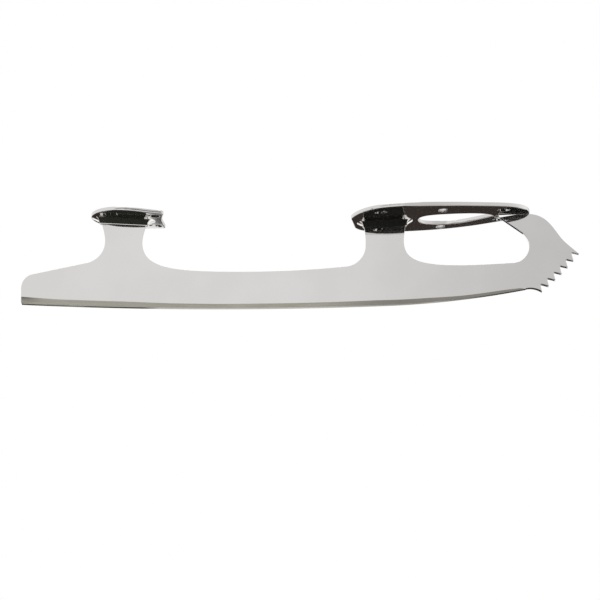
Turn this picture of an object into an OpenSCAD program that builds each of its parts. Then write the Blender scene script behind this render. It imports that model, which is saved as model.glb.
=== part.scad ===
// Figure skate blade: a hollow-ground runner brazed to a heel plate and a sole plate.
// +X points to the toe and +Z up. The origin is on top of the sole plate, over the ball post's centre line.
// Heights are measured up from the ice, lengths along the ice from the ball post's centre line.

/* [Plates] */
// Rear end of the heel plate to the tip of the sole plate
plate_span = 254; // [220:1:290]
// Thickness of both plates
plate_t = 2.4; // [1.8:0.1:3.6]
// Ice to the top of the sole plate, at the ball post
sole_height = 53.7; // [50:0.1:60]
// Ice to the top of the heel plate, at the heel post
heel_height = 54.9; // [50:0.1:62]
// Slope of the sole plate, rising to the front
sole_tilt = 2.9; // [0:0.1:5]
// Slope of the heel plate, falling to the front
heel_tilt = 2.8; // [0:0.1:5]

/* [Sole plate] */
// Length of the sole plate
sole_len = 104; // [98:1:120]
// Rear end of the sole plate to the ball post's centre line
sole_rear = 20; // [18:0.5:24]
// Half width of the sole plate on its outer side
sole_outer = 39.5; // [36:0.5:46]
// Half width of the sole plate on its inner side
sole_inner = 30.4; // [28:0.2:38]
// Half width of the sole plate's rear edge
sole_back = 12; // [8:0.5:18]
// Ball post's centre line to the rear end of the teardrop opening
opening_rear = 19.7; // [18:0.1:21]
// Length of the teardrop opening
opening_len = 43; // [36:0.5:45]
// Half width of the teardrop opening on its outer side
opening_outer = 12.2; // [9:0.1:14]
// Half width of the teardrop opening on its inner side
opening_inner = 15.9; // [12:0.1:17]

/* [Heel plate] */
// Length of the heel plate
heel_len = 42.5; // [38:0.5:50]
// Rear end of the heel plate to the heel post's centre line
heel_rear = 19; // [17:0.5:22]
// Greatest half width of the heel plate
heel_half_w = 25; // [21:0.5:30]
// Half width of the heel plate's front edge
heel_front_half_w = 20; // [17:0.5:24]
// Depth of the hollow in the heel plate's front edge
heel_hollow = 1.2; // [0.5:0.1:3]

/* [Screw holes] */
// Diameter of a screw hole
screw_d = 4.6; // [3.6:0.1:5]
// Diameter of its countersink, on the underside
countersink_d = 7.6; // [6:0.1:8]
// Width of an adjusting slot
slot_w = 4.4; // [4:0.1:6]
// Length of an adjusting slot, across the plate
slot_len = 9; // [7:0.5:10]

/* [Runner] */
// Thickness of the runner
runner_t = 4; // [3:0.1:5]
// Radius of the main rocker along the ice
rocker_r = 2438; // [1800:1:3000]
// Radius of the spin rocker under the toe
spin_r = 540; // [400:1:800]
// Ball post's centre line back to the lowest point of the rocker
rocker_low = 97; // [80:1:110]
// Ball post's centre line to the start of the spin rocker
spin_start = 7; // [-10:0.5:10]
// Change of slope at the start of the spin rocker
spin_break = 0.6; // [0.3:0.1:1]
// Radius of the hollow ground into the ice edge
hollow_r = 12.7; // [9:0.1:20]
// Height of the runner between the posts
runner_depth = 21.5; // [17:0.1:24]
// Length of the tail behind the heel plate
tail_reach = 40; // [30:0.1:55]
// Height of the tail's upper corner
tail_h = 18.6; // [14:0.1:22]
// Radius of the tail's upper corner
tail_corner_r = 8.5; // [3:0.5:10]
// Height at which the tail's upper edge meets the heel post
tail_root_h = 28.9; // [24:0.1:31]
// Height at which the runner's upper edge meets the ball post
ball_root_h = 25.6; // [24:0.1:29]
// Radius of the fillet behind the heel post
heel_root_r = 13; // [8:0.5:14]
// Radius of the fillet behind the ball post
ball_root_r = 12.5; // [5:0.5:13]

/* [Posts] */
// Height of the posts' narrowest place
waist_h = 39; // [36:0.5:42]
// Width of the heel post at its narrowest
heel_waist_w = 21.5; // [18:0.1:25]
// Width of the heel post under the plate
heel_top_w = 27.6; // [25:0.1:29]
// Width of the ball post at its narrowest
ball_waist_w = 22.1; // [18:0.1:24]
// Width of the ball post under the plate
ball_top_w = 25; // [22:0.1:26]
// Length of a post tenon
tenon_len = 6; // [4:0.5:7]
// Spacing of the two tenons on a post
tenon_pitch = 13; // [12:0.5:14]
// Thickness of the tenons
tenon_t = 2.6; // [1.6:0.1:2.9]
// Gap round a tenon in its mortise
tenon_gap = 0.1; // [0.05:0.01:0.2]

/* [Toe] */
// Height of the window's floor above the ice
window_floor = 25.2; // [22:0.1:28]
// Height of the window's floor at its front end
window_front_floor = 26.5; // [24:0.1:29]
// Radius of the window's front end
window_end_r = 10; // [7:0.1:10.5]
// Tip of the sole plate back to the window's front end
window_end = 0.4; // [-2:0.1:4]
// Slope of the window's front edge, up to the plate
window_slope = 35; // [32:0.5:45]
// Tip of the sole plate to the uppermost tooth
toe_reach = 28.4; // [25:0.1:33]
// Height of the uppermost tooth
toe_h = 31.9; // [29:0.1:35]
// Tip of the sole plate to the lowest tooth
drag_reach = 6.8; // [5:0.1:10]
// Height of the lowest tooth
drag_h = 9.5; // [8:0.1:11]
// Tip of the sole plate back to the end of the ice edge
ice_end = 4; // [2:0.1:6]
// Tip of the sole plate to the turning point of the toe's outline
nose_reach = 17.1; // [15:0.1:19]
// Height of the turning point of the toe's outline
nose_h = 42.6; // [40:0.1:45]
// Bow of the line of tooth tips, out from a straight line
pick_bow = 0.9; // [0:0.1:2]
// Number of teeth on the pick
teeth = 7; // [5:1:8]
// Depth of the notches between teeth
tooth_depth = 4.4; // [3:0.1:5]
// Radius at the bottom of a notch
notch_r = 0.6; // [0.3:0.1:0.8]
// Depth of the cross cuts over each tooth
cross_depth = 0.9; // [0.5:0.1:1.2]
// Angle of the cross cuts
cross_angle = 33; // [25:1:45]

/* [Brazing] */
// Leg of the brazed fillets round the posts
braze_post = 3; // [1.5:0.1:3.2]
// Leg of the brazed fillets along the toe
braze_toe = 1.5; // [1:0.1:2.5]
// Length over which the toe's fillets stop short of the plate's tip
braze_stop = 4; // [3:0.5:7]
// Thickness left between the brazing and the runner
braze_gap = 0.05; // [0.02:0.01:0.1]

/* [Hidden] */

// Smoothness of curves: steps on a free curve, on a corner, and fragments of a drilled hole
curve_steps = 14;
corner_steps = 8;
hole_fn = 48;
// Fragments of a full turn of the two rockers
rocker_fn = 1440;
// Overlap of cutters past the faces that they cut
past = 1;
// Stock below the ice edge that the hollow grind takes off, and the shoulder that it leaves at the pick
stock_h = 4;
shoulder_h = 0.3;

// Plan places along the ice
tip_x = sole_len - sole_rear;
heel_back_x = tip_x - plate_span;
heel_x = heel_back_x + heel_rear;
tail_x = heel_back_x - tail_reach;
toe_x = tip_x + toe_reach;
drag_x = tip_x + drag_reach;
ice_end_x = tip_x - ice_end;

// The rockers: the main circle's centre, then the spin circle's slope at its start and its centre
rocker_c = [-rocker_low, rocker_r];
function rocker_z(x) = rocker_c[1] - sqrt(rocker_r ^ 2 - (x - rocker_c[0]) ^ 2);
spin_slope = asin((spin_start - rocker_c[0]) / rocker_r) + spin_break;
spin_c = [spin_start, rocker_z(spin_start)] + spin_r * [-sin(spin_slope), cos(spin_slope)];
function spin_z(x) = spin_c[1] - sqrt(spin_r ^ 2 - (x - spin_c[0]) ^ 2);

// Height of the plates' undersides
function sole_under(x) = sole_height - plate_t / cos(sole_tilt) + x * tan(sole_tilt);
function heel_under(x) = heel_height - plate_t / cos(heel_tilt) - (x - heel_x) * tan(heel_tilt);

// Points along a cubic curve, and along an arc
function curve(a, b, c, d) =
    [for (i = [0 : curve_steps]) let (t = i / curve_steps, s = 1 - t)
        s ^ 3 * a + 3 * s ^ 2 * t * b + 3 * s * t ^ 2 * c + t ^ 3 * d];
function arc(c, r, from, to) =
    [for (i = [0 : corner_steps]) let (a = from + (to - from) * i / corner_steps) c + r * [cos(a), sin(a)]];
function unit(v) = v / norm(v);
// A corner at q between points p and s, rounded to radius r
function rounded(p, q, s, r) =
    let (u = unit(p - q), v = unit(s - q), half = acos(u * v) / 2,
         c = q + unit(u + v) * r / sin(half),
         a = q + u * r / tan(half) - c, b = q + v * r / tan(half) - c,
         from = atan2(a[1], a[0]), turn = atan2(a[0] * b[1] - a[1] * b[0], a * b))
    arc(c, r, from, from + turn);

// The pick: its bowed line of tooth tips, from the lowest to the uppermost
pick_len = norm([toe_x - drag_x, toe_h - drag_h]);
pick_angle = atan2(toe_h - drag_h, toe_x - drag_x);
pitch = pick_len / (teeth - 1);
function pick_out(s) = 4 * pick_bow * s / pick_len * (1 - s / pick_len);
function on_pick(s, depth) =
    [drag_x, drag_h] + s * [cos(pick_angle), sin(pick_angle)]
    + (depth - pick_out(s)) * [-sin(pick_angle), cos(pick_angle)];
pick_points = concat(
    [on_pick(0, 0)],
    [for (k = [1 : teeth - 1]) each concat(
        rounded(on_pick((k - 1) * pitch, 0), on_pick((k - 0.5) * pitch, tooth_depth),
                on_pick(k * pitch, 0), notch_r),
        [on_pick(k * pitch, 0)])]);

// The front of the toe, from the uppermost tooth to the plate's tip
nose = [tip_x + nose_reach, nose_h];
tip = [tip_x, sole_under(tip_x)];
nose_dir = unit([0.58, -0.81]);
toe_points = concat(
    curve([toe_x, toe_h], [toe_x, toe_h] + [-4.6, 4], nose + 4.7 * nose_dir, nose),
    curve(nose, nose - 8.2 * nose_dir, tip + [9, -0.8], tip));

// The window between the toe and the ball post
window_c = [tip_x - window_end - window_end_r, window_front_floor + window_end_r];
window_edge = window_c + window_end_r * [sin(window_slope), cos(window_slope)];
// Where a line up the window's slope from window_edge meets the sole plate's underside
toe_back_x = window_edge[0]
    - (sole_under(window_edge[0]) - window_edge[1]) / (tan(window_slope) + tan(sole_tilt));
ball_side = ball_waist_w / 2;
ball_front_top = [ball_top_w / 2, sole_under(ball_top_w / 2)];
window_mid = [(window_c[0] + ball_side) / 2, window_floor];
window_points = concat(
    [[toe_back_x, sole_under(toe_back_x)]],
    arc(window_c, window_end_r, 90 - window_slope, -90),
    curve([window_c[0], window_front_floor], [window_c[0] - 10, window_front_floor - 0.6],
          window_mid + [11, 0], window_mid),
    curve(window_mid, window_mid - [22, 0], [ball_side, window_floor + 3.2], [ball_side, waist_h]),
    curve([ball_side, waist_h], [ball_side, waist_h + 5], ball_front_top - [0.4, 4], ball_front_top));

// Upper edge of the runner, from the ball post back to the heel post
ball_back_top = [-ball_top_w / 2, sole_under(-ball_top_w / 2)];
ball_root = [-ball_side, ball_root_h];
heel_side = heel_waist_w / 2;
heel_front_top = [heel_x + heel_top_w / 2, heel_under(heel_x + heel_top_w / 2)];
heel_front = [heel_x + heel_side, waist_h];
saddle = [(heel_front[0] - ball_side) / 2 - 8, runner_depth];
saddle_front = ball_root - [14, 1.3];
ball_root_top = ball_root_h + ball_root_r / tan(45 + atan2(1.3, 14) / 2);
ball_back = [-ball_side, max(waist_h, ball_root_top + 0.2)];
arch_points = concat(
    curve(ball_back_top, ball_back_top + [0.6, -4], ball_back + [0, 5], ball_back),
    rounded(ball_back, ball_root, saddle_front, ball_root_r),
    curve(saddle_front, saddle_front - [22, 2.2], saddle + [16, 0], saddle),
    curve(saddle, saddle - [41, 0], heel_front - [0, 15.5], heel_front),
    curve(heel_front, heel_front + [0, 5], heel_front_top - [1.2, 4], heel_front_top));

// The heel post's back and the tail
heel_back_top = [heel_x - heel_top_w / 2, heel_under(heel_x - heel_top_w / 2)];
tail_root = [heel_x - heel_side, tail_root_h];
tail_top = [tail_x, tail_h];
tail_slope = atan2(tail_root_h - tail_h, tail_root[0] - tail_x);
heel_root_top = tail_root_h + heel_root_r / tan(45 + tail_slope / 2);
heel_back = [heel_x - heel_side, max(waist_h, heel_root_top + 0.2)];
heel_corner_r = 2;
tail_points = concat(
    curve(heel_back_top, heel_back_top + [1.2, -4], heel_back + [0, 5], heel_back),
    rounded(heel_back, tail_root, tail_top, heel_root_r),
    rounded(tail_root, tail_top, [tail_x, 0], tail_corner_r),
    arc([tail_x + heel_corner_r, rocker_z(tail_x) + 0.6 * heel_corner_r], heel_corner_r, 180, 250));

// Underside of the lowest tooth, from the small shoulder at the end of the ice edge
shoulder = [ice_end_x, spin_z(ice_end_x) - shoulder_h];
drag_points = curve(shoulder, shoulder + [2.2, 1.6], [drag_x - 3.5, drag_h + 2.6], [drag_x, drag_h]);

// Whole side outline, with stock left below the ice edge for the hollow grind to take off
side_points = concat(drag_points, pick_points, toe_points, window_points, arch_points, tail_points,
    [[tail_x + 2 * heel_corner_r, -stock_h], [ice_end_x, -stock_h]]);

// Plan outline of the sole plate: u runs along it from its rear end, v to its outer or inner side
function sole_out(u, v) = [u * sole_len - sole_rear, -v * sole_outer];
function sole_in(u, v) = [u * sole_len - sole_rear, v * sole_inner];
sole_back_out = [0.3 - sole_rear, -sole_back];
sole_back_in = [2.6 - sole_rear, sole_back];
sole_outline = concat(
    curve(sole_back_out, sole_back_out + [2, -10], sole_out(0.077, 0.89), sole_out(0.192, 0.965)),
    curve(sole_out(0.192, 0.965), sole_out(0.308, 1.04), sole_out(0.5, 0.95), sole_out(0.72, 0.76)),
    curve(sole_out(0.72, 0.76), sole_out(0.83, 0.665), sole_out(1, 0.6), sole_out(1, 0)),
    curve(sole_out(1, 0), sole_in(1, 0.2), sole_in(0.9, 0.37), sole_in(0.77, 0.63)),
    curve(sole_in(0.77, 0.63), sole_in(0.64, 0.89), sole_in(0.5, 1), sole_in(0.36, 1)),
    curve(sole_in(0.36, 1), sole_in(0.19, 1), sole_back_in + [2.4, 14.5], sole_back_in));
// The teardrop opening, from its rear end along its inner side and back along its outer side
function opening_in(u, v) = [opening_rear + u * opening_len, v * opening_inner];
function opening_out(u, v) = [opening_rear + u * opening_len, -v * opening_outer];
opening_outline = concat(
    curve(opening_in(0, 0), opening_in(0, 0.8), opening_in(0.13, 1), opening_in(0.4, 1)),
    curve(opening_in(0.4, 1), opening_in(0.6, 1), opening_in(0.77, 0.52), opening_in(1, 0)),
    curve(opening_out(1, 0), opening_out(0.98, 0.75), opening_out(0.68, 1), opening_out(0.4, 1)),
    curve(opening_out(0.4, 1), opening_out(0.12, 1), opening_out(0, 0.85), opening_out(0, 0)));
// A closed plan outline from its half on the +Y side, which starts and ends on the centre line
function both_sides(half) = concat(half, [for (i = [len(half) - 2 : -1 : 1]) [half[i][0], -half[i][1]]]);
// Plan outline of the heel plate, with a slightly hollowed front edge
heel_front_x = heel_len - heel_rear;
heel_half = concat(
    curve([-heel_rear, 0], [-heel_rear, 10], [7.5 - heel_rear, heel_half_w], [0, heel_half_w]),
    curve([0, heel_half_w], [9, heel_half_w], [heel_front_x - 8, heel_front_half_w + 0.8],
          [heel_front_x - 2, heel_front_half_w]),
    rounded([heel_front_x - 4, heel_front_half_w], [heel_front_x, heel_front_half_w], [heel_front_x, 0], 2),
    curve([heel_front_x, heel_front_half_w - 2], [heel_front_x - heel_hollow / 2, 12],
          [heel_front_x - heel_hollow, 6], [heel_front_x - heel_hollow, 0]));

// Screw places on the plates, from the post's centre line: length, across
sole_screws = [[-2.4, 13.5 - sole_outer], [-2.4, sole_inner - 9.4], [tip_x - 15.8, -16], [tip_x - 17.2, 10]];
sole_slots = [[33, 16.5 - sole_outer], [33, sole_inner - 8]];
heel_screws = [[-5.5, -15], [-5.5, 15], [heel_front_x - 5.5, -13.5], [heel_front_x - 5.5, 13.5]];
// Tenons along the plates: the posts have two, the toe has one
toe_mid = (toe_back_x + tip_x) / 2;
post_tenons = [-tenon_pitch / 2, tenon_pitch / 2];
sole_tenons = concat(post_tenons, [toe_mid]);

steel = "#CDCBC9";
braze = "#DAD8D2";

// Puts what is drawn in a plate's own frame, origin on its top face over its post, into the ice frame
module on_sole() { translate([0, 0, sole_height]) rotate([0, -sole_tilt, 0]) children(); }
module on_heel() { translate([heel_x, 0, heel_height]) rotate([0, heel_tilt, 0]) children(); }
// Moves the ice frame so that its origin is the sole plate's seat
module seated() { translate([0, 0, -sole_height]) children(); }
// A flat shape in the X-Z plane, given a thickness across the blade
module across(t) { rotate([90, 0, 0]) linear_extrude(t, center = true) children(); }
module mirrored() { children(); mirror([0, 1, 0]) children(); }

module screw_hole(p) {
    sink = (countersink_d - screw_d) / 2;
    translate([p[0], p[1], -plate_t - past]) cylinder(d = screw_d, h = plate_t + 2 * past, $fn = hole_fn);
    translate([p[0], p[1], -plate_t - past])
        cylinder(d1 = countersink_d + 2 * past, d2 = screw_d, h = sink + past, $fn = hole_fn);
}

module slot(p) {
    reach = (slot_len - slot_w) / 2;
    translate([p[0], p[1], -plate_t - past]) {
        for (side = [-1, 1])
            translate([0, side * reach, 0]) cylinder(d = slot_w, h = plate_t + 2 * past, $fn = hole_fn);
        translate([-slot_w / 2, -reach, 0]) cube([slot_w, 2 * reach, plate_t + 2 * past]);
    }
}

// A tenon that stands in a post by root and through the plate, or with a gap the mortise for it
module tenon(x, root, top, gap) {
    translate([x - tenon_len / 2 - gap, -tenon_t / 2 - gap, -plate_t - root])
        cube([tenon_len + 2 * gap, tenon_t + 2 * gap, plate_t + root + top]);
}

// The grind along one rocker: a ring sector that leaves two edges at radius r and the hollow between them
module grind(c, r, from_x, to_x) {
    from = asin((from_x - c[0]) / r);
    to = asin((to_x - c[0]) / r);
    translate([c[0], 0, c[1]]) rotate([90, 0, 0]) rotate([0, 0, from - 90])
        rotate_extrude(angle = to - from, $fn = rocker_fn)
            translate([r + sqrt(hollow_r ^ 2 - (runner_t / 2) ^ 2), 0]) circle(hollow_r, $fn = 4 * hole_fn);
}

// Two V grooves that cross over the middle of each tooth
module cross_cuts() {
    mouth = cross_depth + past;
    for (k = [0 : teeth - 1], side = [-1, 1])
        translate([drag_x, 0, drag_h]) rotate([0, -pick_angle, 0])
            translate([k * pitch, 0, -pick_out(k * pitch)]) rotate([0, 0, side * cross_angle])
                across(3 * runner_t)
                    polygon([[-mouth, -past], [mouth, -past], [0, cross_depth]]);
}

module runner() {
    color(steel) seated() difference() {
        union() {
            across(runner_t) polygon(side_points);
            on_sole() for (x = sole_tenons) tenon(x, past, 0, 0);
            on_heel() for (x = post_tenons) tenon(x, past, 0, 0);
        }
        grind(rocker_c, rocker_r, tail_x - past, spin_start + 2 * past);
        grind(spin_c, spin_r, spin_start - 2 * past, ice_end_x + past);
        cross_cuts();
    }
}

module sole_plate() {
    color(steel) seated() on_sole() difference() {
        translate([0, 0, -plate_t]) linear_extrude(plate_t) polygon(sole_outline);
        translate([0, 0, -plate_t - past]) linear_extrude(plate_t + 2 * past) polygon(opening_outline);
        for (p = sole_screws) screw_hole(p);
        for (p = sole_slots) slot(p);
        for (x = sole_tenons) tenon(x, past, past, tenon_gap);
    }
}

module heel_plate() {
    color(steel) seated() on_heel() difference() {
        translate([0, 0, -plate_t]) linear_extrude(plate_t) polygon(both_sides(heel_half));
        for (p = heel_screws) screw_hole(p);
        for (x = post_tenons) tenon(x, past, past, tenon_gap);
    }
}

// A concave fillet along +X, under the plane z = 0 and on the +Y side of the plane y = 0
module fillet(len, leg) {
    difference() {
        translate([0, 0, -leg]) cube([len, leg, leg]);
        translate([-past, leg, -leg]) rotate([0, 90, 0])
            cylinder(r = leg, h = len + 2 * past, $fn = hole_fn);
    }
}

// The turn of such a fillet round an upright edge of the post
module fillet_turn(leg) {
    rotate_extrude(angle = 90, $fn = hole_fn) difference() {
        translate([0, -leg]) square(leg);
        translate([leg, -leg]) circle(leg, $fn = hole_fn);
    }
}

// The brazing under a plate, in that plate's frame, round a post top of width w
module post_fillets(w) {
    translate([0, 0, -plate_t]) {
        mirrored() translate([-w / 2, runner_t / 2, 0]) fillet(w, braze_post);
        for (end = [0, 1]) mirror([end, 0, 0]) translate([w / 2, 0, 0]) {
            mirrored() translate([0, runner_t / 2, 0]) fillet_turn(braze_post);
            translate([0, runner_t / 2, 0]) rotate([0, 0, -90]) fillet(runner_t, braze_post);
            translate([-braze_post, -runner_t / 2, -braze_post]) cube([braze_post, runner_t, braze_post]);
        }
    }
}

// The runner's side outline, grown by the thin gap that the brazing keeps
module runner_room() {
    for (side = [-1, 1])
        translate([side * braze_gap, 0, 0]) across(runner_t + 2 * braze_gap) polygon(side_points);
}

module heel_braze() {
    color(braze) seated() difference() {
        on_heel() post_fillets(heel_top_w);
        runner_room();
    }
}

module ball_braze() {
    color(braze) seated() difference() {
        on_sole() post_fillets(ball_top_w);
        runner_room();
    }
}

module toe_braze() {
    color(braze) seated() on_sole() mirrored()
        translate([toe_back_x + braze_toe, runner_t / 2, -plate_t])
            fillet(tip_x - braze_stop - toe_back_x - braze_toe, braze_toe);
}

runner();
heel_plate();
sole_plate();
heel_braze();
ball_braze();
toe_braze();
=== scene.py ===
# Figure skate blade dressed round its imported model. Sizes are in millimetres: x along the blade from the
# ball post, y across it, heights up from the ice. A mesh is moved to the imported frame, in metres, when made.
import bmesh
import bpy
import numpy as np
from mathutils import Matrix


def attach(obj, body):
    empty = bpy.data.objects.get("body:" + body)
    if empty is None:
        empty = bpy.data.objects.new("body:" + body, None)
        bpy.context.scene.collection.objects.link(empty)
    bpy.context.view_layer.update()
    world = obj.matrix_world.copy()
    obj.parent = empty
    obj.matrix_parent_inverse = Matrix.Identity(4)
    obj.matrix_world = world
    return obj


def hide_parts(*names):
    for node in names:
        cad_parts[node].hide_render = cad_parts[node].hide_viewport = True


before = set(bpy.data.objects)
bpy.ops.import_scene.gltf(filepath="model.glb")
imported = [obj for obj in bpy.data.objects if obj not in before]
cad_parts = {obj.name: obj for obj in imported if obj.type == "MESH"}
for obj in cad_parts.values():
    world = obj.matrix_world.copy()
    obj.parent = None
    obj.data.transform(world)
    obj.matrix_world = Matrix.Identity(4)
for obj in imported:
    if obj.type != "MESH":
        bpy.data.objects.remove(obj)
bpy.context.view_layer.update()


# Runner. One flat blank of tempered carbon steel, profiled with its tail, two posts and toothed pick, then
# polished and plated bright all over. Its lower edge is ground last, which leaves bare steel on both sides
# and a hollow between them.
runner_half = 2.0
plate_t = 2.4
sole_height, sole_tilt = 53.7, np.radians(2.9)
heel_height, heel_tilt = 54.9, np.radians(2.8)
heel_x, tip_x, tail_x = -151.0, 84.0, -210.0
rocker_r, rocker_low = 2438.0, -97.0
spin_r, spin_start, spin_break = 540.0, 7.0, np.radians(0.6)
hollow_r = 12.7
ice_end = 81.0
edge_ease, pick_ease = 0.14, 0.36


def xz(x, z):
    """A point of the side view, along and up, or of a plan, along and across."""
    return np.array([x, z], float)


def bend(a, b, c, d, n=28):
    """Cubic curve: its four points weighted by the Bernstein polynomials of t, without the last point."""
    t = np.linspace(0, 1, n, endpoint=False)[:, None]
    return (1 - t) ** 3 * a + 3 * (1 - t) ** 2 * t * b + 3 * (1 - t) * t ** 2 * c + t ** 3 * d


def turn(centre, r, start, end, n=16):
    """Arc: centre plus r times the cosine and sine of an angle that runs from start to end, in radians."""
    a = np.linspace(start, end, n)
    return centre + r * np.stack([np.cos(a), np.sin(a)], 1)


def corner(p, q, s, r):
    """Arc of radius r that touches the lines q-p and q-s: its centre lies on their bisector."""
    u, v = (p - q) / np.linalg.norm(p - q), (s - q) / np.linalg.norm(s - q)
    half = np.arccos(u @ v) / 2
    centre = q + (u + v) / np.linalg.norm(u + v) * r / np.sin(half)
    a, b = q + u * r / np.tan(half) - centre, q + v * r / np.tan(half) - centre
    start = np.arctan2(a[1], a[0])
    return turn(centre, r, start, start + np.arctan2(a[0] * b[1] - a[1] * b[0], a @ b))


def sole_under(x):
    """Height of the sole plate's underside: a line that rises to the front."""
    return sole_height - plate_t / np.cos(sole_tilt) + x * np.tan(sole_tilt)


def heel_under(x):
    """Height of the heel plate's underside: a line that falls to the front."""
    return heel_height - plate_t / np.cos(heel_tilt) - (x - heel_x) * np.tan(heel_tilt)


def ice(x):
    """Height of the ice edge: the main rocker's circle, then the smaller spin circle under the toe."""
    main = rocker_r - np.sqrt(rocker_r ** 2 - (x - rocker_low) ** 2)
    slope = np.arcsin((spin_start - rocker_low) / rocker_r) + spin_break
    start = rocker_r - np.sqrt(rocker_r ** 2 - (spin_start - rocker_low) ** 2)
    spin_c = xz(spin_start, start) + spin_r * xz(-np.sin(slope), np.cos(slope))
    reach = np.clip(x - spin_c[0], -spin_r, spin_r)
    return np.where(x < spin_start, main, spin_c[1] - np.sqrt(spin_r ** 2 - reach ** 2))


# The pick: teeth along a slightly bowed line of tips, round-bottomed notches between them
drag, toe = xz(90.8, 9.5), xz(112.4, 31.9)
tooth_count, tooth_depth, notch_r = 7, 4.4, 0.6
pick_bow, steps_per_tooth = 0.9, 22
pick_len = np.linalg.norm(toe - drag)
pick_dir = (toe - drag) / pick_len
pick_in = xz(-pick_dir[1], pick_dir[0])
tooth_pitch = pick_len / (tooth_count - 1)
pick_s = np.linspace(0, pick_len, steps_per_tooth * (tooth_count - 1) + 1)
pick_out = 4 * pick_bow * pick_s / pick_len * (1 - pick_s / pick_len)


def notch(s):
    """Depth behind the line of tips: a V per pitch, whose bottom is a circle that touches both flanks."""
    u = np.abs(s % tooth_pitch - tooth_pitch / 2)
    half = np.arctan(tooth_pitch / 2 / tooth_depth)
    flank = tooth_depth * (1 - u / (tooth_pitch / 2))
    bottom = tooth_depth - notch_r / np.sin(half) + np.sqrt(np.maximum(notch_r ** 2 - u ** 2, 0))
    return np.where(u < notch_r * np.cos(half), bottom, flank)


def cross_cut(s, y, depth=0.9, lean=np.radians(33)):
    """Depth of two V grooves that cross over each tooth tip, each leaning by the same angle to one side."""
    off = (s + tooth_pitch / 2) % tooth_pitch - tooth_pitch / 2
    return depth - np.minimum(np.abs(off * np.cos(lean) - y * np.sin(lean)),
                              np.abs(off * np.cos(lean) + y * np.sin(lean)))


# The side outline, counter-clockwise from behind the drag tooth: pick, toe, window, posts, tail and ice edge
nose, nose_dir = xz(101.1, 42.6), xz(0.582, -0.813)
tip = xz(tip_x, sole_under(tip_x))
window_c, window_r, window_slope = xz(73.6, 36.5), 10.0, np.radians(35)
window_edge = window_c + window_r * xz(np.sin(window_slope), np.cos(window_slope))
toe_back = window_edge[0] - ((sole_under(window_edge[0]) - window_edge[1])
                             / (np.tan(window_slope) + np.tan(sole_tilt)))
waist, ball_half, ball_top, heel_half, heel_top = 39.0, 11.05, 12.5, 10.75, 13.8
ball_root_r, heel_root_r, tail_corner_r = 12.5, 13.0, 8.5
window_mid = xz((window_c[0] + ball_half) / 2, 25.2)
window_low = window_c - xz(0, window_r)
ball_front = xz(ball_top, sole_under(ball_top))
ball_back = xz(-ball_top, sole_under(-ball_top))
ball_root = xz(-ball_half, 25.6)
heel_front, heel_back = xz(heel_x + heel_half, waist), xz(heel_x - heel_half, waist)
heel_front_top = xz(heel_x + heel_top, heel_under(heel_x + heel_top))
heel_back_top = xz(heel_x - heel_top, heel_under(heel_x - heel_top))
saddle = xz((heel_front[0] - ball_half) / 2 - 8, 21.5)
saddle_front = ball_root - xz(14, 1.3)
tail_root, tail_top = xz(heel_x - heel_half, 28.9), xz(tail_x, 18.6)
foot_r, foot_height, foot_sine = 2.0, 1.2, 0.6095
tail_foot = xz(tail_x + foot_r, ice(tail_x) + foot_height)
foot_arc = turn(tail_foot, foot_r, np.pi, np.pi + np.arcsin(foot_sine))
band_rear = xz(tail_x, ice(tail_x) + 4.1)
shoulder_x, shoulder_sunk, ice_steps = 80.0, 0.3, 260
shoulder = xz(shoulder_x, ice(shoulder_x) - shoulder_sunk)
drag_curve = bend(shoulder, shoulder + xz(2.2, 1.6), drag + xz(-3.5, 2.6), drag)
ice_x = np.linspace(foot_arc[-1, 0], ice_end, ice_steps)[1:]
profile = [
    drag_curve[drag_curve[:, 0] > ice_end + 0.1],
    drag + pick_s[:, None] * pick_dir + (notch(pick_s) - pick_out)[:, None] * pick_in,
    bend(toe, toe + xz(-4.6, 4), nose + 4.7 * nose_dir, nose)[1:],
    bend(nose, nose - 8.2 * nose_dir, tip + xz(9, -0.8), tip),
    [tip, xz(toe_back, sole_under(toe_back))],
    turn(window_c, window_r, np.pi / 2 - window_slope, -np.pi / 2, 40),
    bend(window_low, window_low - xz(10, 0.6), window_mid + xz(11, 0), window_mid)[1:],
    bend(window_mid, window_mid - xz(22, 0), xz(ball_half, 28.4), xz(ball_half, waist)),
    bend(xz(ball_half, waist), xz(ball_half, waist + 5), ball_front - xz(0.4, 4), ball_front),
    [ball_front],
    bend(ball_back, ball_back + xz(0.6, -4), xz(-ball_half, waist + 5), xz(-ball_half, waist)),
    corner(xz(-ball_half, waist), ball_root, saddle_front, ball_root_r),
    bend(saddle_front, saddle_front - xz(22, 2.2), saddle + xz(16, 0), saddle),
    bend(saddle, saddle - xz(41, 0), heel_front - xz(0, 15.5), heel_front),
    bend(heel_front, heel_front + xz(0, 5), heel_front_top - xz(1.2, 4), heel_front_top),
    [heel_front_top],
    bend(heel_back_top, heel_back_top + xz(1.2, -4), heel_back + xz(0, 5), heel_back),
    corner(heel_back, tail_root, tail_top, heel_root_r),
    corner(tail_root, tail_top, xz(tail_x, 0), tail_corner_r),
    [band_rear],
    foot_arc,
    np.stack([ice_x, ice(ice_x)], 1)]
side = np.concatenate(profile)
count = len(side)
pick_start = len(profile[0])
ice_start = count - len(ice_x) - 1
is_pick = np.zeros(count, bool)
is_pick[pick_start:pick_start + len(pick_s)] = True
is_ice = np.arange(count) >= ice_start


def inward(loop, limit=2.5):
    """Unit normals to the left of a closed loop, lengthened at corners so that an inset keeps its width."""
    step = np.roll(loop, -1, 0) - loop
    step /= np.linalg.norm(step, axis=1)[:, None]
    left = np.stack([-step[:, 1], step[:, 0]], 1)
    mid = left + np.roll(left, 1, 0)
    mid /= np.linalg.norm(mid, axis=1)[:, None]
    return mid * np.minimum(1 / np.maximum((mid * left).sum(1), 0.01), limit)[:, None]


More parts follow.
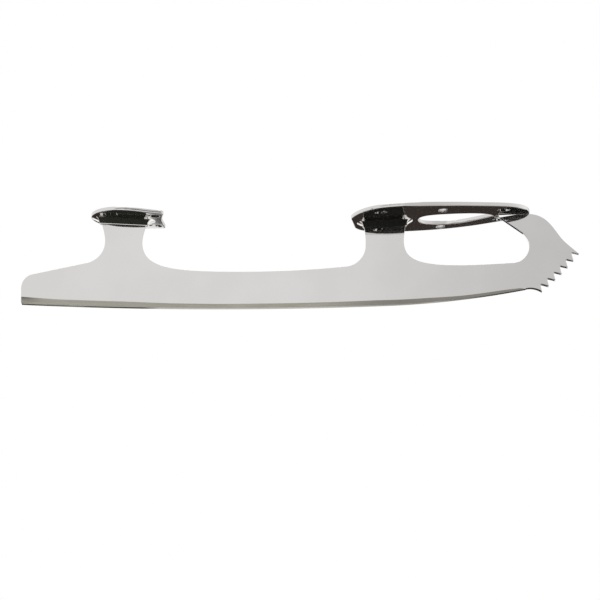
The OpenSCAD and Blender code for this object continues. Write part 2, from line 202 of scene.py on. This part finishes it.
# Across the edge: an arris rounded on both sides, more so on the pick, or on the ice the hollow between two
# sharp edges
arris = np.radians([0, 30, 60, 90])
ease = np.full(count, edge_ease)
ease[:pick_start] = np.linspace(edge_ease, pick_ease, pick_start)
ease[is_pick] = pick_ease
inner_half, inner_count = 1.6, 9
inner_y = np.broadcast_to(np.linspace(-inner_half, inner_half, inner_count), (count, inner_count))
in_from_side = ease[:, None] * (1 - np.cos(arris))
rim_y = np.concatenate([in_from_side - runner_half, inner_y, (runner_half - in_from_side)[:, ::-1]], 1)
up_from_edge = ease[:, None] * (1 - np.sin(arris))
eased = np.concatenate([up_from_edge, 0 * inner_y, up_from_edge[:, ::-1]], 1)
hollow = np.sqrt(hollow_r ** 2 - rim_y ** 2) - np.sqrt(hollow_r ** 2 - runner_half ** 2)
inset = np.where(is_ice[:, None], hollow, eased)
rim = side[:, None, :] + inward(side)[:, None, :] * inset[:, :, None]
cut = np.maximum(cross_cut(pick_s[:, None], rim_y[is_pick]) - notch(pick_s)[:, None], 0)
rim[is_pick] += cut[:, :, None] * pick_in
rim = np.stack([rim[:, :, 0], rim_y, rim[:, :, 1]], 2)

# The ground band on each side, from the tail's rear edge to the pick, narrower towards the toe
band_path = np.arange(ice_start - len(foot_arc), count)
band_t = np.linspace(0, 1, len(band_path)) ** 0.9
band_x = tail_x + (ice_end - tail_x) * band_t
band_at = (-210, -190, -150, -125, -97, -40, -5, 25, 45, 66, 72, 78, ice_end)
band_tall = (4.1, 3.4, 3.3, 2.7, 2.45, 2.6, 2.85, 2.5, 1.75, 1.6, 1.4, 1.0, 0)
band_h = np.interp(band_x, band_at, band_tall)
band_line = np.stack([band_x, ice(band_x) + band_h], 1)
band_line[0] = rim[band_path[0], 0, ::2]
band_line[-1] = rim[band_path[-1], 0, ::2]


def grid_faces(rows, columns, around):
    """Quads of a grid of points numbered row by row; around joins the last row to the first."""
    i = np.arange(rows if around else rows - 1)[:, None]
    j = np.arange(columns - 1)[None, :]
    a, b = i * columns + j, (i + 1) % rows * columns + j
    return np.stack([a, b, b + 1, a + 1], 2).reshape(-1, 4)


def to_frame(points):
    """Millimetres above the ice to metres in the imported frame, whose origin is on the sole plate."""
    return (points - np.array([0, 0, sole_height])) / 1000


def piece(name, grids, materials, place=to_frame, fill_y=(), fill_z=(), crease=34):
    """One closed mesh from grids of points, each with whether it wraps round and its material's number.

    Points that meet are merged, and open edges at the levels fill_y or fill_z are filled with flat faces.
    """
    bm = bmesh.new()
    for points, around, paint in grids:
        mesh = bpy.data.meshes.new(name)
        mesh.from_pydata(points.reshape(-1, 3), [], grid_faces(points.shape[0], points.shape[1], around))
        mesh.polygons.foreach_set("material_index", np.full(len(mesh.polygons), paint, np.int32))
        mesh.polygons.foreach_set("use_smooth", np.ones(len(mesh.polygons), bool))
        bm.from_mesh(mesh)
        bpy.data.meshes.remove(mesh)
    bmesh.ops.remove_doubles(bm, verts=bm.verts, dist=1e-4)
    for axis, level in [(1, v) for v in fill_y] + [(2, v) for v in fill_z]:
        open_edges = [e for e in bm.edges if e.is_boundary
                      and all(abs(v.co[axis] - level) < 1e-3 for v in e.verts)]
        filled = bmesh.ops.triangle_fill(bm, use_beauty=True, edges=open_edges)
        for face in filled["geom"]:
            if isinstance(face, bmesh.types.BMFace):
                face.smooth = False
    bmesh.ops.recalc_face_normals(bm, faces=bm.faces)
    is_smooth = np.array([face.smooth for face in bm.faces])
    mesh = bpy.data.meshes.new(name)
    bm.to_mesh(mesh)
    bm.free()
    co = np.empty(len(mesh.vertices) * 3)
    mesh.vertices.foreach_get("co", co)
    mesh.vertices.foreach_set("co", place(co.reshape(-1, 3)).ravel())
    mesh.set_sharp_from_angle(angle=np.radians(crease))
    mesh.polygons.foreach_set("use_smooth", is_smooth)
    for material in materials:
        mesh.materials.append(material)
    made = bpy.data.objects.new(name, mesh)
    bpy.context.scene.collection.objects.link(made)
    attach(made, "root")
    return made


def linear(code):
    """An sRGB hex colour as linear red, green, blue and alpha."""
    c = np.array([int(code[i:i + 2], 16) for i in (1, 3, 5)]) / 255
    return (*np.where(c <= 0.04045, c / 12.92, ((c + 0.055) / 1.055) ** 2.4), 1.0)


def node(tree, kind, inputs=None, **settings):
    """Adds a node with its settings; an input is a socket's value, or another node's output to link to it."""
    made = tree.nodes.new(kind)
    for key, value in settings.items():
        setattr(made, key, value)
    for key, value in (inputs or {}).items():
        if isinstance(value, bpy.types.NodeSocket):
            tree.links.new(value, made.inputs[key])
        else:
            made.inputs[key].default_value = value
    return made


def finish(name, colour, roughness, metallic=1.0):
    """A new material with its shader's plain values; returns it, its node tree and its shader."""
    made = bpy.data.materials.new(name)
    made.use_nodes = True
    shader = made.node_tree.nodes["Principled BSDF"]
    shader.inputs["Base Color"].default_value = linear(colour)
    shader.inputs["Metallic"].default_value = metallic
    shader.inputs["Roughness"].default_value = roughness
    return made, made.node_tree, shader


def grain(tree, at, along, across):
    """Noise drawn out along the blade, with spots of about these sizes in millimetres."""
    scale = (1000 / along, 1000 / across, 1000 / across)
    sized = node(tree, "ShaderNodeMapping", {"Vector": at, "Scale": scale})
    noise = node(tree, "ShaderNodeTexNoise", {"Vector": sized.outputs[0], "Scale": 1.0, "Detail": 2.0})
    return noise.outputs[0]


# Bright plate over a mirror polish. Lines of the buffing wheel 0.3 mm apart, too fine to be seen one by one,
# draw its reflections out a little, and cloudy places 30 mm wide vary its colour.
smooth = {"interpolation_type": "SMOOTHSTEP"}
hues = {"data_type": "RGBA"}
plating, tree, shader = finish("nickel chrome plate on polished steel", "#D8D6D4", 0.06)
at = node(tree, "ShaderNodeTexCoord").outputs["Object"]
lines = grain(tree, at, 40, 0.3)
clouds = grain(tree, at, 30, 30)
cloudy = node(tree, "ShaderNodeMapRange", {"Value": clouds, "From Min": 0.35, "From Max": 0.65}, **smooth)
colour = node(tree, "ShaderNodeMix",
              {0: cloudy.outputs[0], 6: linear("#D6D4D2"), 7: linear("#D9D7D5")}, **hues)
gloss = node(tree, "ShaderNodeMapRange",
             {"Value": lines, "From Min": 0.3, "From Max": 0.7, "To Min": 0.03, "To Max": 0.06}, **smooth)
relief = node(tree, "ShaderNodeBump", {"Height": lines, "Strength": 1.0, "Distance": 5e-7})
tree.links.new(colour.outputs[2], shader.inputs["Base Color"])
tree.links.new(gloss.outputs[0], shader.inputs["Roughness"])
tree.links.new(relief.outputs[0], shader.inputs["Normal"])

# Bare steel from the grinding wheel. Marks 0.15 mm apart along the edge make it satin. Its colour also carries
# painted shade:
# darker towards the toe, and darker on the upper part of the band at the tail's end.
ground, tree, shader = finish("bare ground carbon steel", "#9F9C92", 0.32)
at = node(tree, "ShaderNodeTexCoord").outputs["Object"]
along = node(tree, "ShaderNodeSeparateXYZ", {0: at}).outputs["X"]
band = node(tree, "ShaderNodeAttribute", attribute_name="band").outputs["Fac"]
marks = grain(tree, at, 12, 0.15)
# Painted shade: the band's colour darkens from the middle of the blade towards the toe
toe_painted_shade = node(tree, "ShaderNodeMapRange", {"Value": along, "From Min": -0.045, "From Max": 0.01}, **smooth)
steel = node(tree, "ShaderNodeMix",
             {0: toe_painted_shade.outputs[0], 6: linear("#B9B6AA"), 7: linear("#97948C")}, **hues)
# Painted shade: the upper part of the band is darkened towards #77746E at the tail's end
near_tail = node(tree, "ShaderNodeMapRange",
                 {"Value": along, "From Min": -0.209, "From Max": -0.196, "To Min": 1.0, "To Max": 0.0},
                 **smooth)
up_band = node(tree, "ShaderNodeMapRange", {"Value": band, "From Min": 0.2, "To Min": 0.2}, **smooth)
tail_painted_shade = node(tree, "ShaderNodeMath", {0: near_tail.outputs[0], 1: up_band.outputs[0]}, operation="MULTIPLY")
tail_shaded_steel = node(tree, "ShaderNodeMix", {0: tail_painted_shade.outputs[0], 6: steel.outputs[2], 7: linear("#77746E")}, **hues)
scored = node(tree, "ShaderNodeMapRange",
              {"Value": marks, "From Min": 0.35, "From Max": 0.65, "To Max": 0.25}, **smooth)
worn = node(tree, "ShaderNodeMix", {0: scored.outputs[0], 6: tail_shaded_steel.outputs[2], 7: linear("#6E6B65")}, **hues)
relief = node(tree, "ShaderNodeBump", {"Height": marks, "Strength": 1.0, "Distance": 3e-6})
tree.links.new(worn.outputs[2], shader.inputs["Base Color"])
tree.links.new(relief.outputs[0], shader.inputs["Normal"])

blank = [(rim[:ice_start + 1], False, 0), (np.concatenate([rim[ice_start:], rim[:1]]), False, 1)]
for y, column in ((-runner_half, 0), (runner_half, -1)):
    low = rim[band_path, column][:, None, :]
    high = np.stack([band_line[:, 0], np.full(len(band_line), y), band_line[:, 1]], 1)[:, None, :]
    blank.append((np.concatenate([low, high], 1), False, 1))
runner = piece("runner_blank", blank, [plating, ground], fill_y=(-runner_half, runner_half))
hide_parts("runner")
# How far up the ground band a point is: 0 on the ice edge, 1 on the band's upper line
co = np.empty(len(runner.data.vertices) * 3)
runner.data.vertices.foreach_get("co", co)
x, z = co[::3] * 1000, co[2::3] * 1000 + sole_height
tall = np.maximum(np.interp(x, band_at, band_tall), 0.3)
runner.data.attributes.new("band", "FLOAT", "POINT").data.foreach_set("value", (z - ice(x)) / tall)


# Sole plate. A flat plate stamped from mild steel, wider on its outer side, with a large teardrop opening,
# four countersunk screw holes, two adjusting slots and three mortises. Its edges are buffed round before it
# is plated.
sole_rear, sole_len, sole_outer, sole_inner = 20.0, 104.0, 39.5, 30.4
drop_rear, drop_len, drop_outer, drop_inner = 19.7, 43.0, 12.2, 15.9
countersink, screw_r, slot_r, slot_reach = 1.5, 2.3, 2.2, 2.3
tenon_half, tenon_t_half, tenon_gap, tenon_off = 3.0, 1.3, 0.1, 6.5
toe_mid = (toe_back + tip_x) / 2
sole_tenons, heel_tenons = (-tenon_off, tenon_off, toe_mid), (-tenon_off, tenon_off)


def seat(x, height, tilt):
    """How a plate's own points are placed: turned about y by its tilt and moved to its post."""
    def place(p):
        """The turn and the move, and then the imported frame."""
        along = x + p[:, 0] * np.cos(tilt) - p[:, 2] * np.sin(tilt)
        up = height + p[:, 0] * np.sin(tilt) + p[:, 2] * np.cos(tilt)
        return to_frame(np.stack([along, p[:, 1], up], 1))
    return place


def edge(top, bottom, n=6):
    """Insets and heights down a plate's edge, with a quarter circle at its top and at its underside."""
    a = np.linspace(0, np.pi / 2, n)
    upper = np.stack([top * (1 - np.sin(a)), top * (np.cos(a) - 1)], 1)
    lower = np.stack([bottom * (1 - np.cos(a)), bottom * (1 - np.sin(a)) - plate_t], 1)
    return np.concatenate([upper, lower])


def wall(loop, profile):
    """Grid of a wall: a closed plan loop moved to its left by each inset of the profile, at its height."""
    flat = loop[:, None, :] + inward(loop)[:, None, :] * profile[:, 0][:, None]
    return np.concatenate([flat, np.broadcast_to(profile[:, 1][:, None], flat.shape[:2] + (1,))], 2), True, 0


def screw_hole(x, y):
    """Wall of a countersunk hole, as wide as its screw above and widening to the underside."""
    profile = np.array([(0.15, 0), (0.045, -0.045), (0, -0.15), (0, countersink - plate_t + 0.06),
                        (0.08, countersink - plate_t - 0.08), (countersink - 0.1, 0.1 - plate_t),
                        (countersink, 0.04 - plate_t), (countersink + 0.1, -plate_t)])
    return wall(turn(xz(x, y), screw_r, 2 * np.pi, 0, 49)[:-1], profile)


def slot_hole(x, y):
    """Wall of an adjusting slot: two half circles joined by straight sides, across the plate."""
    loop = np.concatenate([turn(xz(x, y + slot_reach), slot_r, np.pi, 0, 20),
                           turn(xz(x, y - slot_reach), slot_r, 0, -np.pi, 20)])
    return wall(loop, edge(0.3, 0.4))


def mortise(x):
    """Wall of the slot that a tenon passes through: an oblong wider than it by the gap on every side."""
    a, b = tenon_half + tenon_gap, tenon_t_half + tenon_gap
    loop = np.array([(x - a, -b), (x - a, b), (x + a, b), (x + a, -b)])
    return wall(loop, np.array([(0.05, 0), (0, -0.05), (0, -plate_t)]))


def plan(start, length, width):
    """How a plan point is read: u of the length past the start, and v of the width to one side."""
    return lambda u, v: xz(start + length * u, width * v)


outer, inner = plan(-sole_rear, sole_len, -sole_outer), plan(-sole_rear, sole_len, sole_inner)
hole_out, hole_in = plan(drop_rear, drop_len, -drop_outer), plan(drop_rear, drop_len, drop_inner)
back_out, back_in = xz(-19.7, -12), xz(-17.4, 12)
sole_loop = np.concatenate([
    bend(back_out, back_out + xz(2, -10), outer(0.077, 0.89), outer(0.192, 0.965)),
    bend(outer(0.192, 0.965), outer(0.308, 1.04), outer(0.5, 0.95), outer(0.72, 0.76)),
    bend(outer(0.72, 0.76), outer(0.83, 0.665), outer(1, 0.6), outer(1, 0)),
    bend(inner(1, 0), inner(1, 0.2), inner(0.9, 0.37), inner(0.77, 0.63)),
    bend(inner(0.77, 0.63), inner(0.64, 0.89), inner(0.5, 1), inner(0.36, 1)),
    bend(inner(0.36, 1), inner(0.19, 1), back_in + xz(2.4, 14.5), back_in), [back_in]])
drop_loop = np.concatenate([
    bend(hole_in(0, 0), hole_in(0, 0.8), hole_in(0.13, 1), hole_in(0.4, 1)),
    bend(hole_in(0.4, 1), hole_in(0.6, 1), hole_in(0.77, 0.52), hole_in(1, 0)),
    bend(hole_out(1, 0), hole_out(0.98, 0.75), hole_out(0.68, 1), hole_out(0.4, 1)),
    bend(hole_out(0.4, 1), hole_out(0.12, 1), hole_out(0, 0.85), hole_out(0, 0))])
buffed = edge(0.4, 0.5)
walls = [wall(sole_loop, buffed), wall(drop_loop, buffed)]
walls += [screw_hole(x, y) for x, y in ((-2.4, -26), (-2.4, 21), (68.2, -16), (66.8, 10))]
walls += [slot_hole(33, -23), slot_hole(33, 22.4)]
walls += [mortise(x) for x in sole_tenons]
on_sole = seat(0, sole_height, sole_tilt)
sole_plate = piece("sole_plate_plated", walls, [plating], on_sole, fill_z=(0, -plate_t))
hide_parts("sole_plate")


# Heel plate. A smaller plate of the same steel, round behind and slightly hollow in front, with four
# countersunk screw holes and two mortises, buffed and plated like the sole plate.
heel_rear, heel_half_w = 19.0, 25.0
front, front_half_w, front_hollow, front_corner_r = 23.5, 20.0, 1.2, 2.0
front_mid = xz(front - front_hollow, 0)


def mirrored(half):
    """Closed clockwise loop from its half on the +y side, which starts and ends on the centre line."""
    return np.concatenate([half, half[-2:0:-1] * [1, -1]])


heel_loop = mirrored(np.concatenate([
    bend(xz(-heel_rear, 0), xz(-heel_rear, 10), xz(-11.5, heel_half_w), xz(0, heel_half_w)),
    bend(xz(0, heel_half_w), xz(9, heel_half_w), xz(front - 8, 20.8), xz(front - 2, front_half_w)),
    corner(xz(front - 4, front_half_w), xz(front, front_half_w), xz(front, 0), front_corner_r)[:-1],
    bend(xz(front, 18), xz(front - 0.6, 12), front_mid + xz(0, 6), front_mid), [front_mid]]))[::-1]
walls = [wall(heel_loop, buffed)]
walls += [screw_hole(x, y) for x, y in ((-5.5, -15), (-5.5, 15), (18, -13.5), (18, 13.5))]
walls += [mortise(x) for x in heel_tenons]
on_heel = seat(heel_x, heel_height, -heel_tilt)
heel_plate = piece("heel_plate_plated", walls, [plating], on_heel, fill_z=(0, -plate_t))
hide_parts("heel_plate")


# Tenons. Short blocks of the runner's own steel on top of its posts and toe, set through the plates' mortises
# and dressed flush with them, so that five small oblongs show on the side that the boot covers.
tenon_foot = -plate_t - 0.5


def tenon(x):
    """Wall of a tenon from inside the post up to the plate's top, with a slightly eased end."""
    a, b = tenon_half, tenon_t_half
    loop = np.array([(x - a, -b), (x + a, -b), (x + a, b), (x - a, b)])
    return wall(loop, np.array([(0.1, 0), (0, -0.1), (0, tenon_foot)]))


for name, places, on_plate in (("sole_tenons", sole_tenons, on_sole), ("heel_tenons", heel_tenons, on_heel)):
    tenons = piece(name, [tenon(x) for x in places], [plating], on_plate, fill_z=(0, tenon_foot))


# Brazing. Silver alloy that ran into each joint and froze as a hollow fillet between a post and its plate,
# longer and lower at the ends, and thin along the toe. It is plated with the rest and keeps a ripple of about
# 1.5 mm, which unsettles its reflections.
post_leg, end_rise, toe_leg = 3.0, 0.8, 1.5
brazing, tree, shader = finish("plated silver brazing alloy", "#FAF8F4", 0.08)
ripple = grain(tree, node(tree, "ShaderNodeTexCoord").outputs["Object"], 1.5, 1.5)
relief = node(tree, "ShaderNodeBump", {"Height": ripple, "Strength": 1.0, "Distance": 1e-5})
tree.links.new(relief.outputs[0], shader.inputs["Normal"])


def round_post(half, side_n=24, end_n=7, turn_n=9):
    """Points and outward directions round a post top: two sides, two ends and four turns on the spot."""
    along, across = np.linspace(-1, 1, side_n), np.linspace(-1, 1, end_n)
    side_at = np.stack([along * half, np.full(side_n, -runner_half)], 1)
    turn_at = np.tile([half, -runner_half], (turn_n - 2, 1))
    end_at = np.stack([np.full(end_n, half), across * runner_half], 1)
    at = np.concatenate([side_at, turn_at, end_at, turn_at * [1, -1]])
    way = np.concatenate([np.tile([0, -1], (side_n, 1)), turn(xz(0, 0), 1, -np.pi / 2, 0, turn_n)[1:-1],
                          np.tile([1, 0], (end_n, 1)), turn(xz(0, 0), 1, 0, np.pi / 2, turn_n)[1:-1]])
    return np.concatenate([at, -at]), np.concatenate([way, -way])


def bead(at, way, reach, depth, lean, foot, hollow=0.06, lip=0.009, in_post=-0.15, in_plate=-0.1, n=9):
    """Grid of a fillet along a path: a hollow curve from depth on the post to reach on the plate.

    The curve is quadratic, and the section is closed inside the plate and the post.
    """
    t = np.linspace(0, 1, n)[1:]
    mid = (1 - hollow) / 2
    out = np.concatenate([[0, lip], 2 * (1 - t) * t * mid + t ** 2, [1, in_post, in_post, 0]])
    down = np.concatenate([[1, 1], (1 - t) ** 2 + 2 * (1 - t) * t * mid, [in_plate, in_plate, 1, 1]])
    lowest = np.zeros(len(out))
    lowest[[0, -1, -2]] = 1
    deep = depth[:, None] * (down + lowest * foot)
    side = reach[:, None] * out - lean[:, None] * np.maximum(deep, 0)
    flat = at[:, None, :] + way[:, None, :] * side[:, :, None]
    return np.concatenate([flat, -plate_t - deep[:, :, None]], 2)


for name, node_name, half, lean, foot, pool, on_plate in (
        ("heel_fillet", "heel_braze", heel_top, 0.3, 0.075, 1.5, on_heel),
        ("ball_fillet", "ball_braze", ball_top, 0.12, 0.01, 0.6, on_sole)):
    path, way = round_post(half)
    end = way[:, 0] ** 2
    grid = bead(path, way, post_leg + pool * end, post_leg - end_rise * end, lean * end, foot)
    fillet = piece(name, [(grid, True, 0)], [brazing], on_plate, crease=22)
    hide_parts(node_name)

# Along the toe the fillet starts low round the toe's rear end and thins out forwards on both sides
arm_len, arm_n, rear_n = 11.0, 30, 19
run = np.linspace(0, arm_len, arm_n)
thin = np.minimum(0.4 + 0.7 * run, toe_leg * (1 - run / arm_len))
arm = np.stack([toe_back + run, np.full(arm_n, -runner_half)], 1)
rear_way = turn(xz(0, 0), 1, np.pi / 2, 3 * np.pi / 2, rear_n)
rear = np.stack([np.full(rear_n, toe_back), np.clip(3 * rear_way[:, 1], -1, 1) * runner_half], 1)
path = np.concatenate([arm[::-1] * [1, -1], rear, arm])
way = np.concatenate([np.tile([0, 1], (arm_n, 1)), rear_way, np.tile([0, -1], (arm_n, 1))])
depth = np.concatenate([thin[::-1], np.full(rear_n, thin[0]), thin])
end = way[:, 0] ** 2
grid = bead(path, way, 0.5 * depth + 1.4 * end, depth, 1.285 * end, 0.05)
fillet = piece("toe_fillet", [(grid, False, 0)], [brazing], on_sole, crease=22)
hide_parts("toe_braze")


# Floor. A plain pale sheet under the blade, seen only from above. The polish sees it as white paper in full
# light.
floor_half, floor_z = 3.0, -sole_height / 1000 - 0.0002
mesh = bpy.data.meshes.new("floor")
mesh.from_pydata([(-floor_half, -floor_half, floor_z), (floor_half, -floor_half, floor_z),
                  (floor_half, floor_half, floor_z), (-floor_half, floor_half, floor_z)], [], [(0, 1, 2, 3)])
floor = bpy.data.objects.new("floor", mesh)
bpy.context.scene.collection.objects.link(floor)
paper, tree, shader = finish("pale paper", "#F2F2F0", 0.8, 0.0)
shader.inputs["Specular IOR Level"].default_value = 0.0
mirrored_ray = node(tree, "ShaderNodeLightPath").outputs["Is Glossy Ray"]
from_below = node(tree, "ShaderNodeNewGeometry").outputs["Backfacing"]
lit = node(tree, "ShaderNodeEmission")
clear = node(tree, "ShaderNodeBsdfTransparent")
sheet = node(tree, "ShaderNodeMixShader", {0: mirrored_ray, 1: shader.outputs[0], 2: lit.outputs[0]})
mix = node(tree, "ShaderNodeMixShader", {0: from_below, 1: sheet.outputs[0], 2: clear.outputs[0]})
tree.links.new(mix.outputs[0], tree.nodes["Material Output"].inputs["Surface"])
mesh.materials.append(paper)


# Cards, as a studio uses for polished metal: dark, grey and pale matt paper that lies on the floor or stands
# before the blade, seen only in the polish. Their places are in metres.
def card(name, colour, x, span, fade=(0.01, 0.01), ends=0.01, stand=None, lift=0.0001):
    """A card over x and a second span that fades out at its edges: on the floor, or upright at y = stand."""
    xs = np.array([x[0], x[0] + ends, x[1] - ends, x[1]])
    ys = np.array([span[0], span[0] + fade[0], span[1] - fade[1], span[1]])
    a, b = np.meshgrid(xs, ys, indexing="ij")
    level = np.full((4, 4), floor_z + lift if stand is None else stand)
    points = np.stack([a, b, level] if stand is None else [a, level, b], 2)
    mesh = bpy.data.meshes.new(name)
    mesh.from_pydata(points.reshape(-1, 3), [], grid_faces(4, 4, False))
    cover = np.outer([0, 1, 1, 0], [0, 1, 1, 0]).astype(float)
    mesh.attributes.new("cover", "FLOAT", "POINT").data.foreach_set("value", cover.ravel())
    paint, tree, shader = finish(name, colour, 0.9, 0.0)
    shader.inputs["Specular IOR Level"].default_value = 0.0
    opaque = node(tree, "ShaderNodeAttribute", attribute_name="cover").outputs["Fac"]
    clear = node(tree, "ShaderNodeBsdfTransparent")
    mix = node(tree, "ShaderNodeMixShader", {0: opaque, 1: clear.outputs[0], 2: shader.outputs[0]})
    tree.links.new(mix.outputs[0], tree.nodes["Material Output"].inputs["Surface"])
    mesh.materials.append(paint)
    made = bpy.data.objects.new(name, mesh)
    bpy.context.scene.collection.objects.link(made)
    made.visible_camera = False
    made.visible_diffuse = False
    made.visible_shadow = False


card("card_before_heel", "#2E2F2B", (-0.45, -0.085), (-0.3, -0.0025), (0.003, 0.0005))
card("card_before_ball", "#232321", (-0.085, 0.035), (-0.31, -0.0025), (0.003, 0.0005))
card("card_before_toe", "#1C1C1B", (0.045, 0.4), (-0.3, -0.1), (0.003, 0.003))
card("card_under_toe", "#1C1C1B", (0.045, 0.4), (-0.045, -0.0025), (0.003, 0.0005))
card("card_behind_sole", "#393330", (-0.1, 0.4), (0.165, 0.32))
card("card_by_ball", "#393330", (-0.1, 0.03), (0.012, 0.16))
card("card_behind_gap", "#706E6C", (-0.155, -0.095), (0.165, 0.259), (0.01, 0.002))
card("strip_near", "#0A0A0A", (-0.15, -0.1), (0.238, 0.244), (0.001, 0.001), lift=0.0003)
card("strip_far", "#0A0A0A", (-0.15, -0.1), (0.251, 0.2575), (0.001, 0.001), lift=0.0003)
card("card_behind_heel", "#393330", (-0.45, -0.156), (0.004, 0.32), (0.001, 0.01))
card("card_under_heel", "#8C8C88", (-0.18, -0.13), (-0.004, 0.014), (0.001, 0.001), lift=0.0003)
card("card_under_tip", "#1C1C1B", (0.05, 0.095), (-0.004, 0.015), (0.001, 0.001), lift=0.0003)
card("card_far", "#1C1C1B", (-0.07, 0.05), (0.33, 0.52))
card("card_pick", "#393330", (0.031, 0.15), (0.015, 0.16))
card("glint_ball", "#74746F", (-0.014, 0.01), (-0.043, -0.024), (0.004, 0.004), 0.006, lift=0.0005)
card("glint_ball_rear", "#C8C8C4", (-0.05, -0.024), (-0.036, -0.012), (0.003, 0.003), 0.005, lift=0.0005)
card("shade_ball", "#2A2A28", (0.022, 0.05), (-0.04, -0.008), (0.002, 0.002), 0.004, lift=0.0005)
card("card_rim_rear", "#8E8E8B", (-0.195, -0.125), (0.0075, 0.0115), (0.0003, 0.0005), 0.02, stand=-0.06)
card("card_rim_front", "#9A9A97", (-0.138, -0.09), (0.0048, 0.0115), (0.0003, 0.0005), 0.004, stand=-0.0605)
card("card_sole_rim", "#F2F2EF", (-0.05, 0.016), (0.0045, 0.012), (0.0005, 0.0005), 0.012, stand=-0.075)


# Light. An even white studio, a little dimmer ahead and on the right, brighter again far out on the right and
# behind, and one soft lamp overhead. The camera sees plain white behind the blade.
world = bpy.data.worlds.new("studio")
bpy.context.scene.world = world
world.use_nodes = True
tree = world.node_tree
seen = node(tree, "ShaderNodeLightPath").outputs["Is Camera Ray"]
direction = node(tree, "ShaderNodeTexCoord").outputs["Generated"]
part = node(tree, "ShaderNodeSeparateXYZ", {0: direction}).outputs
dim = node(tree, "ShaderNodeMapRange",
           {"Value": part["X"], "From Min": -0.01, "From Max": 0.075, "To Min": 0.98, "To Max": 0.74},
           **smooth)
side_light = node(tree, "ShaderNodeMapRange",
                  {"Value": part["X"], "From Min": 0.35, "From Max": 0.7}, **smooth)
back_light = node(tree, "ShaderNodeMapRange",
                  {"Value": part["Y"], "From Min": -0.6, "From Max": 0.8, "To Min": 0.13, "To Max": 0.36},
                  **smooth)
studio = node(tree, "ShaderNodeMath", {0: side_light.outputs[0], 1: back_light.outputs[0], 2: dim.outputs[0]},
              operation="MULTIPLY_ADD")
strength = node(tree, "ShaderNodeMix", {0: seen, 2: studio.outputs[0], 3: 1.0}, data_type="FLOAT")
tree.links.new(strength.outputs[0], tree.nodes["Background"].inputs["Strength"])
tree.nodes["Background"].inputs["Color"].default_value = (1, 1, 1, 1)

lamp = bpy.data.lights.new("overhead", "AREA")
lamp.energy = 3.0
lamp.size = 0.8
overhead = bpy.data.objects.new("overhead", lamp)
overhead.location = (-0.2, -0.3, 1.2)
overhead.rotation_euler = (np.radians(14), np.radians(-10), 0)
bpy.context.scene.collection.objects.link(overhead)


# Camera. A long lens a little below the blade, looking up across it. At the blade its view is view_width
# metres wide.
distance, elevation, view_width, sensor = 2.5, np.radians(-11), 0.3464, 36
aim = np.array([-0.04903, 0, -0.04857])
lens = bpy.data.cameras.new("camera")
lens.sensor_width = sensor
lens.lens = sensor * distance / view_width
camera = bpy.data.objects.new("camera", lens)
camera.location = aim - distance * np.array([0, np.cos(elevation), -np.sin(elevation)])
camera.rotation_euler = (np.pi / 2 - elevation, 0, 0)
bpy.context.scene.collection.objects.link(camera)
bpy.context.scene.camera = camera
bpy.context.scene.view_settings.view_transform = "Standard"

bpy.context.view_layer.update()
